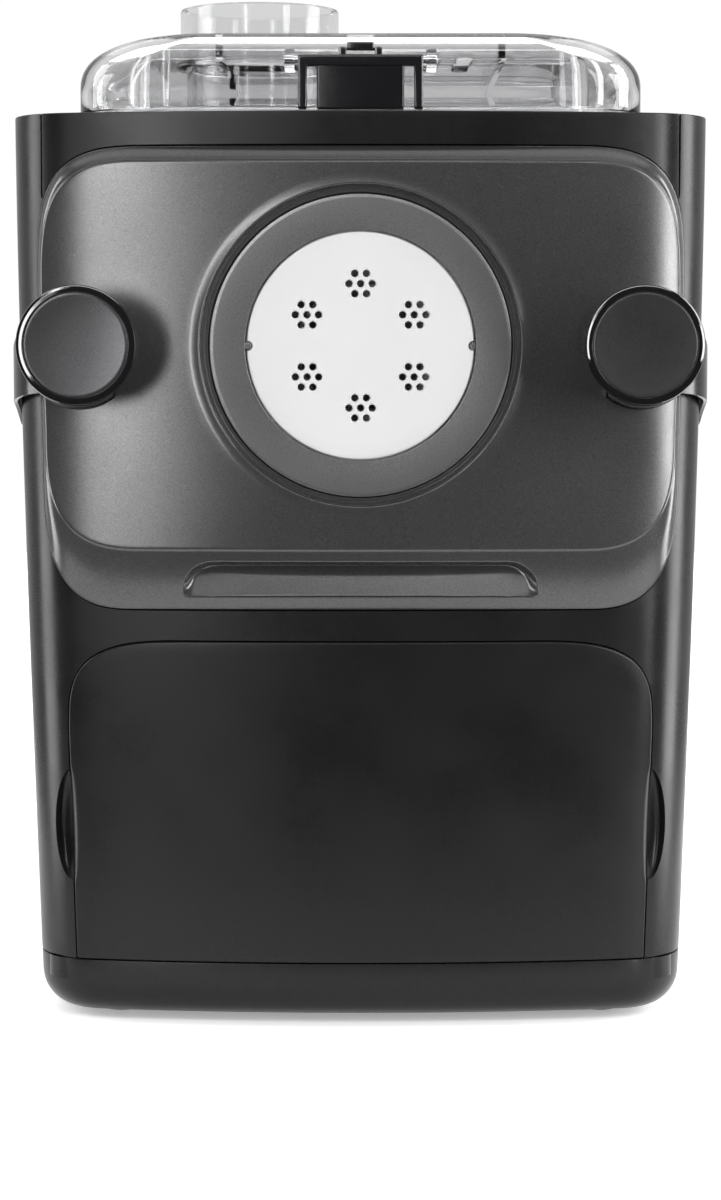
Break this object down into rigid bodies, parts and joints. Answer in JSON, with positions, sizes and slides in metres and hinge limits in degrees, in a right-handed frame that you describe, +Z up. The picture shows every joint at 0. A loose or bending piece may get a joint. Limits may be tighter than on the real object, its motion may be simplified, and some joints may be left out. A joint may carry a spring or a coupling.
{
  "type": "electric pasta maker",
  "caption": "Upright countertop pasta extruder: dark body, removable front panel with shaping disc and two clamp knobs, clear lid and cup, storage drawer, geared motor.",
  "frame": {"origin": "centre of the footprint box, on the table under the feet", "axes": "+X right seen from the front, +Y to the rear, +Z up; the pasta leaves towards -Y"},
  "size_m": [0.2394, 0.384, 0.356],
  "materials": {
    "housing": "fine spark-eroded texture",
    "front_bezel": "fine spark-eroded texture",
    "top_deck": "fine texture",
    "base_pan": "fine spark-eroded texture",
    "rear_cover": "fine texture",
    "rubber_feet": "matte",
    "case_screws": "zinc plated",
    "front_bulkhead": "pressed sheet",
    "tie_rods": "turned stainless",
    "mixing_chamber": "clear polycarbonate",
    "extruder_tube": "white acetal",
    "extrusion_screw": "white acetal",
    "mixing_paddle": "white acetal",
    "drive_shaft": "turned stainless",
    "shaft_seal": "silicone",
    "shaft_bearings": "ground",
    "gearbox_case": "cast",
    "gearbox_plate": "cast",
    "output_gear": "moulded acetal",
    "idler_gear": "moulded acetal",
    "idler_axle": "turned stainless",
    "motor_pinion": "machined",
    "motor_can": "cast",
    "motor_rotor": "laminated",
    "cooling_fan": "moulded",
    "drive_screws": "zinc plated",
    "gearbox_bracket": "pressed sheet",
    "control_board": "circuit board",
    "power_board": "circuit board",
    "display_lens": "polished",
    "control_dial": "fine texture",
    "start_button": "satin",
    "timer_button": "satin",
    "mode_button": "satin",
    "power_switch": "smooth",
    "inlet_socket": "smooth",
    "drawer_front": "fine texture",
    "drawer_tray": "smooth",
    "drawer_divider": "smooth",
    "stored_discs": "white acetal",
    "drawer_rails": "pressed sheet",
    "front_panel": "satin metallic grey",
    "panel_backing": "pressed sheet",
    "disc_ring": "satin metallic grey",
    "shaping_disc": "white acetal",
    "disc_gasket": "translucent silicone",
    "ear_left": "high gloss",
    "ear_right": "high gloss",
    "knob_left": "high gloss",
    "knob_right": "high gloss",
    "knob_cap_left": "satin metallic grey",
    "knob_cap_right": "satin metallic grey",
    "knob_washer_left": "satin",
    "knob_washer_right": "satin",
    "lid": "clear polycarbonate",
    "lid_latch": "high gloss",
    "lid_pins": "turned stainless",
    "lid_seal": "translucent silicone",
    "measuring_cup": "clear plastic"
  },
  "bodies": {
    "machine": {"housing": "housing", "front_bezel": "front_bezel", "top_deck": "top_deck", "base_pan": "base_pan", "rear_cover": "rear_cover", "rubber_feet": "rubber_feet", "case_screws": "case_screws", "front_bulkhead": "front_bulkhead", "tie_rods": "tie_rods", "mixing_chamber": "mixing_chamber", "extruder_tube": "extruder_tube", "disc_gasket": "disc_gasket", "shaft_seal": "shaft_seal", "shaft_bearings": "shaft_bearings", "gearbox_case": "gearbox_case", "gearbox_plate": "gearbox_plate", "idler_axle": "idler_axle", "motor_can": "motor_can", "drive_screws": "drive_screws", "gearbox_bracket": "gearbox_bracket", "control_board": "control_board", "power_board": "power_board", "display_lens": "display_lens", "inlet_socket": "inlet_socket", "drawer_rails": "drawer_rails"},
    "drive_output": {"drive_shaft": "drive_shaft", "output_gear": "output_gear", "extrusion_screw": "extrusion_screw", "mixing_paddle": "mixing_paddle"},
    "idler": {"idler_gear": "idler_gear"},
    "rotor": {"motor_rotor": "motor_rotor", "motor_pinion": "motor_pinion", "cooling_fan": "cooling_fan"},
    "dial": {"control_dial": "control_dial"},
    "start_key": {"start_button": "start_button"},
    "timer_key": {"timer_button": "timer_button"},
    "mode_key": {"mode_button": "mode_button"},
    "rocker": {"power_switch": "power_switch"},
    "drawer": {"drawer_front": "drawer_front", "drawer_tray": "drawer_tray", "drawer_divider": "drawer_divider", "stored_discs": "stored_discs"},
    "panel": {"front_panel": "front_panel", "panel_backing": "panel_backing", "disc_ring": "disc_ring", "ear_left": "ear_left", "ear_right": "ear_right"},
    "disc": {"shaping_disc": "shaping_disc"},
    "washer_left": {"knob_washer_left": "knob_washer_left"},
    "washer_right": {"knob_washer_right": "knob_washer_right"},
    "left_knob": {"knob_left": "knob_left", "knob_cap_left": "knob_cap_left"},
    "right_knob": {"knob_right": "knob_right", "knob_cap_right": "knob_cap_right"},
    "lid_body": {"lid": "lid", "lid_pins": "lid_pins", "lid_seal": "lid_seal"},
    "latch": {"lid_latch": "lid_latch"},
    "cup": {"measuring_cup": "measuring_cup"}
  },
  "joints": [
    {"name": "drive_spin", "type": "hinge", "parent": "machine", "child": "drive_output", "pos_m": [0, 0.04, 0.233], "axis": [0, 1, 0], "continuous": true},
    {"name": "idler_spin", "type": "hinge", "parent": "machine", "child": "idler", "pos_m": [-0.036, 0.047, 0.185], "axis": [0, 1, 0], "continuous": true},
    {"name": "rotor_spin", "type": "hinge", "parent": "machine", "child": "rotor", "pos_m": [-0.006, 0.11, 0.1625], "axis": [0, 1, 0], "continuous": true},
    {"name": "panel_slide", "type": "slide", "parent": "machine", "child": "panel", "axis": [0, -1, 0], "range_m": [0, 0.06]},
    {"name": "disc_slide", "type": "slide", "parent": "machine", "child": "disc", "axis": [0, -1, 0], "range_m": [0, 0.031]},
    {"name": "washer_left_travel", "type": "slide", "parent": "panel", "child": "washer_left", "axis": [0, -1, 0], "range_m": [0, 0.0062]},
    {"name": "knob_left_turn", "type": "hinge", "parent": "washer_left", "child": "left_knob", "pos_m": [-0.0925, -0.175, 0.233], "axis": [0, -1, 0], "range_deg": [0, 1080]},
    {"name": "washer_right_travel", "type": "slide", "parent": "panel", "child": "washer_right", "axis": [0, -1, 0], "range_m": [0, 0.0062]},
    {"name": "knob_right_turn", "type": "hinge", "parent": "washer_right", "child": "right_knob", "pos_m": [0.0925, -0.175, 0.233], "axis": [0, -1, 0], "range_deg": [0, 1080]},
    {"name": "lid_hinge", "type": "hinge", "parent": "machine", "child": "lid_body", "pos_m": [0, 0.042, 0.322], "axis": [-1, 0, 0], "range_deg": [0, 78]},
    {"name": "latch_pivot", "type": "hinge", "parent": "lid_body", "child": "latch", "pos_m": [0, -0.1435, 0.3296], "axis": [-1, 0, 0], "range_deg": [0, 45]},
    {"name": "cup_lift", "type": "slide", "parent": "lid_body", "child": "cup", "axis": [0, 0, 1], "range_m": [0, 0.05]},
    {"name": "drawer_slide", "type": "slide", "parent": "machine", "child": "drawer", "axis": [0, -1, 0], "range_m": [0, 0.12]},
    {"name": "dial_turn", "type": "hinge", "parent": "machine", "child": "dial", "pos_m": [0.078, 0.11, 0.315], "axis": [0, 0, 1], "continuous": true},
    {"name": "start_press", "type": "slide", "parent": "machine", "child": "start_key", "axis": [0, 0, -1], "range_m": [0, 0.001], "stiffness_N_per_m": 400, "springref_m": -0.001},
    {"name": "timer_press", "type": "slide", "parent": "machine", "child": "timer_key", "axis": [0, 0, -1], "range_m": [0, 0.001], "stiffness_N_per_m": 400, "springref_m": -0.001},
    {"name": "mode_press", "type": "slide", "parent": "machine", "child": "mode_key", "axis": [0, 0, -1], "range_m": [0, 0.001], "stiffness_N_per_m": 400, "springref_m": -0.001},
    {"name": "rocker_tip", "type": "hinge", "parent": "machine", "child": "rocker", "pos_m": [-0.068, 0.1815, 0.065], "axis": [1, 0, 0], "range_deg": [0, 18]}
  ],
  "couplings": [
    {"joint": "idler_spin", "follows": "drive_spin", "ratio": -4},
    {"joint": "rotor_spin", "follows": "drive_spin", "ratio": 16},
    {"joint": "disc_slide", "follows": "panel_slide", "ratio": 0.5},
    {"joint": "washer_left_travel", "follows": "knob_left_turn", "m_per_rad": 0.0003183},
    {"joint": "washer_right_travel", "follows": "knob_right_turn", "m_per_rad": 0.0003183}
  ]
}
